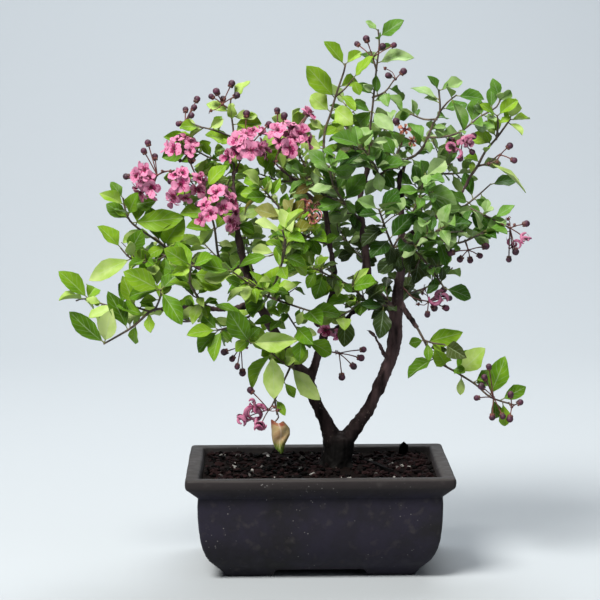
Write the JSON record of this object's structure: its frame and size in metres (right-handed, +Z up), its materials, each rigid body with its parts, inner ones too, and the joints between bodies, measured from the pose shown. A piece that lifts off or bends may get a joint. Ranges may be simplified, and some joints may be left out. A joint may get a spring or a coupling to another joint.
{
  "type": "barbados cherry bonsai",
  "caption": "Flowering barbados cherry bonsai with a forked trunk, airy leafy sprays and pink umbels, planted in an oblong footed ceramic pot.",
  "frame": {"origin": "on the surface that the pot stands on, under the middle of the whole plant's box", "axes": "+Z up; +X to the right and -Y towards the viewer, seen from the pot's long front side"},
  "size_m": [0.3638, 0.2172, 0.4264],
  "materials": {
    "pot_clay": "matte unglazed, dark violet grey",
    "gauze_plastic": "matte",
    "soil_mix": "rough, bark chips and pumice",
    "bark": "rough, dotted with pale pores",
    "leaf_green": "satin, yellow green",
    "leaf_deep": "satin, deep green",
    "dry_leaf": "matte, dry and curled",
    "bloom_pink": "soft, pink",
    "bud_purple": "satin, purple red"
  },
  "bodies": {
    "root": {"pot": "pot_clay", "drain_gauze_left": "gauze_plastic", "drain_gauze_right": "gauze_plastic", "soil": "soil_mix", "wood": "bark", "dried_leaf": "dry_leaf", "apex": "leaf_deep", "left_spire": "leaf_green", "right_spire": "leaf_deep", "right_reach": "leaf_green", "low_right": "leaf_green", "left_reach": "leaf_green", "left_fork": "leaf_green", "low_drop": "leaf_green", "low_left": "leaf_green", "left_mass": "leaf_green", "left_mass_back": "leaf_green", "left_rise": "leaf_green", "left_tip": "leaf_green", "left_top_back": "leaf_green", "centre_left": "leaf_green", "centre_top": "leaf_green", "centre_low": "leaf_green", "back_left": "leaf_green", "back_middle": "leaf_deep", "back_right": "leaf_deep", "front_left": "leaf_green", "front_right": "leaf_deep", "inner_low": "leaf_green", "trunk_shade": "leaf_deep", "crown_left": "leaf_deep", "crown": "leaf_deep", "crown_back": "leaf_deep", "right_mid": "leaf_deep", "right_side": "leaf_deep", "right_back": "leaf_deep", "right_under": "leaf_deep", "buds_top_left": "bud_purple", "buds_left": "bud_purple", "umbel_far_left": "bloom_pink", "umbel_left": "bloom_pink", "umbel_left_low": "bloom_pink", "umbel_mid_left": "bloom_pink", "umbel_top_left": "bloom_pink", "umbel_top": "bloom_pink", "umbel_spent": "bloom_pink", "umbel_right": "bloom_pink", "umbel_back_right": "bloom_pink", "umbel_low": "bloom_pink", "buds_low": "bud_purple", "umbel_hanging": "bloom_pink", "umbel_right_mid": "bloom_pink", "umbel_far_right": "bloom_pink", "buds_right_row": "bud_purple", "buds_low_right": "bud_purple", "buds_low_right_end": "bud_purple", "buds_low_left": "bud_purple", "buds_apex": "bud_purple", "buds_apex_low": "bud_purple", "buds_right_reach": "bud_purple"}
  },
  "joints": []
}
